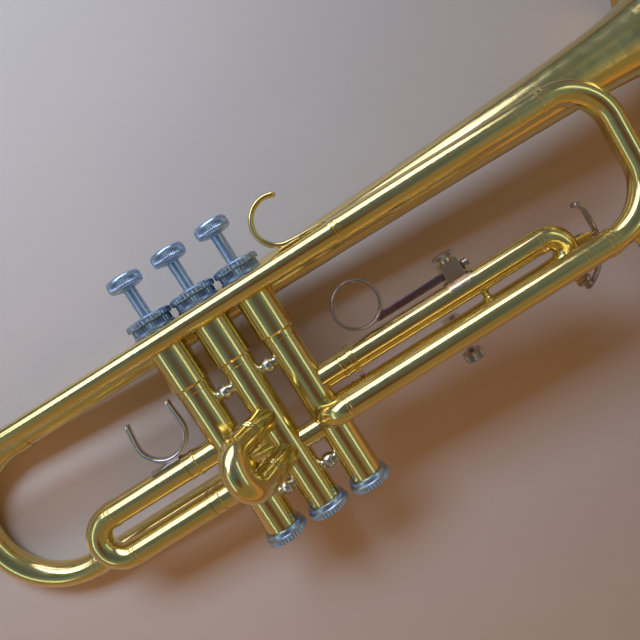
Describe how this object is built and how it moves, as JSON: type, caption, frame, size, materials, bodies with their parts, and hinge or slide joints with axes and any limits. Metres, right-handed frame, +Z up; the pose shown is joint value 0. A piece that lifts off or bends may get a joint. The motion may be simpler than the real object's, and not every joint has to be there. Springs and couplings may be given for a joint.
{
  "type": "trumpet",
  "caption": "Piston trumpet on its side: bell, leadpipe, valve block, tuning slide, valve slides with thumb hook and finger ring, mouthpiece.",
  "frame": {"origin": "middle of the bounding box, on the table that the trumpet lies on", "axes": "+X along the table under the trumpet, towards the bell; +Y towards the finger buttons; +Z up, the trumpet lying on its left side"},
  "size_m": [0.5982, 0.1946, 0.1246],
  "materials": {
    "lacquered_brass": "polished and lacquered",
    "nickel": "polished plate",
    "silver_plate": "polished plate",
    "piston_metal": "ground",
    "spring_steel": "drawn wire",
    "pearl": "polished shell",
    "cork": "natural cork",
    "felt": "pressed felt",
    "nylon": "moulded"
  },
  "bodies": {
    "body": {"receiver": "nickel", "leadpipe": "lacquered_brass", "tuning_sleeves": "lacquered_brass", "valve_elbows": "lacquered_brass", "bell_stem": "lacquered_brass", "bell_throat": "lacquered_brass", "bell_flare": "lacquered_brass", "bow_ferrules": "lacquered_brass", "bell_bow": "lacquered_brass", "bell_leg": "lacquered_brass", "leadpipe_braces": "lacquered_brass", "finger_hook": "lacquered_brass", "casing_1": "lacquered_brass", "casing_2": "lacquered_brass", "casing_3": "lacquered_brass", "valve_knuckles": "lacquered_brass", "casing_spacers": "lacquered_brass", "top_cap_1": "nickel", "top_cap_2": "nickel", "top_cap_3": "nickel", "bottom_cap_1": "nickel", "bottom_cap_2": "nickel", "bottom_cap_3": "nickel", "valve_guides": "nylon", "cap_felts": "felt", "slide_1_inner_tubes": "lacquered_brass", "slide_2_sleeves": "lacquered_brass", "slide_3_inner_tubes": "lacquered_brass"},
    "mouthpiece": {"mouthpiece": "silver_plate"},
    "main_slide": {"tuning_legs": "lacquered_brass", "tuning_bow": "lacquered_brass"},
    "main_key": {"main_water_key": "nickel", "main_key_cork": "cork"},
    "first_slide": {"slide_1_outer_tubes": "lacquered_brass", "slide_1_bow": "lacquered_brass", "thumb_hook": "nickel"},
    "second_slide": {"slide_2_legs": "lacquered_brass", "slide_2_bow": "lacquered_brass"},
    "third_slide": {"slide_3_outer_tubes": "lacquered_brass", "slide_3_bow": "lacquered_brass", "slide_3_brace": "lacquered_brass", "ring_holder": "lacquered_brass", "lyre_holder": "lacquered_brass"},
    "ring_rod": {"finger_ring": "nickel"},
    "ring_lock": {"ring_screw": "nickel"},
    "lyre_lock": {"lyre_screw": "nickel"},
    "third_key": {"third_water_key": "nickel", "third_key_cork": "cork"},
    "valve_1": {"piston_1": "piston_metal", "button_1": "nickel", "pearl_1": "pearl", "valve_spring_1": "spring_steel"},
    "valve_2": {"piston_2": "piston_metal", "button_2": "nickel", "pearl_2": "pearl", "valve_spring_2": "spring_steel"},
    "valve_3": {"piston_3": "piston_metal", "button_3": "nickel", "pearl_3": "pearl", "valve_spring_3": "spring_steel"}
  },
  "joints": [
    {"name": "mouthpiece_pull", "type": "slide", "parent": "body", "child": "mouthpiece", "axis": [-0.9945, 0, -0.1045], "range_m": [0, 0.03]},
    {"name": "valve_1_press", "type": "slide", "parent": "body", "child": "valve_1", "axis": [0.0053, -0.9987, -0.0503], "range_m": [0, 0.0156], "stiffness_N_per_m": 100, "springref_m": -0.02, "deforming": ["valve_spring_1"]},
    {"name": "valve_2_press", "type": "slide", "parent": "body", "child": "valve_2", "axis": [0.0053, -0.9987, -0.0503], "range_m": [0, 0.0156], "stiffness_N_per_m": 100, "springref_m": -0.02, "deforming": ["valve_spring_2"]},
    {"name": "valve_3_press", "type": "slide", "parent": "body", "child": "valve_3", "axis": [0.0053, -0.9987, -0.0503], "range_m": [0, 0.0156], "stiffness_N_per_m": 100, "springref_m": -0.02, "deforming": ["valve_spring_3"]},
    {"name": "main_slide_pull", "type": "slide", "parent": "body", "child": "main_slide", "axis": [0.9945, 0, 0.1045], "range_m": [0, 0.05]},
    {"name": "first_slide_pull", "type": "slide", "parent": "body", "child": "first_slide", "axis": [-0.9945, 0, -0.1045], "range_m": [0, 0.04]},
    {"name": "second_slide_pull", "type": "slide", "parent": "body", "child": "second_slide", "axis": [-0.5445, -0.0451, 0.8375], "range_m": [0, 0.012]},
    {"name": "third_slide_pull", "type": "slide", "parent": "body", "child": "third_slide", "axis": [0.9945, 0, 0.1045], "range_m": [0, 0.035]},
    {"name": "ring_adjust", "type": "slide", "parent": "third_slide", "child": "ring_rod", "axis": [0.9945, 0, 0.1045], "range_m": [0, 0.02]},
    {"name": "ring_lock_turn", "type": "hinge", "parent": "third_slide", "child": "ring_lock", "pos_m": [0.09003, -0.01282, 0.06016], "axis": [-0.0053, 0.9987, 0.0503], "continuous": true},
    {"name": "lyre_lock_turn", "type": "hinge", "parent": "third_slide", "child": "lyre_lock", "pos_m": [0.08093, -0.06228, 0.04722], "axis": [-0.0053, 0.9987, 0.0503], "continuous": true},
    {"name": "main_key_open", "type": "hinge", "parent": "main_slide", "child": "main_key", "pos_m": [0.19435, -0.04613, 0.08755], "axis": [-0.1044, -0.0506, 0.9932], "range_deg": [0, 12], "stiffness_Nm_per_rad": 0.05, "springref_deg": -22.92},
    {"name": "third_key_open", "type": "hinge", "parent": "third_slide", "child": "third_key", "pos_m": [0.16069, -0.04397, 0.066], "axis": [-0.1044, -0.0506, 0.9932], "range_deg": [0, 12], "stiffness_Nm_per_rad": 0.05, "springref_deg": -22.92}
  ]
}
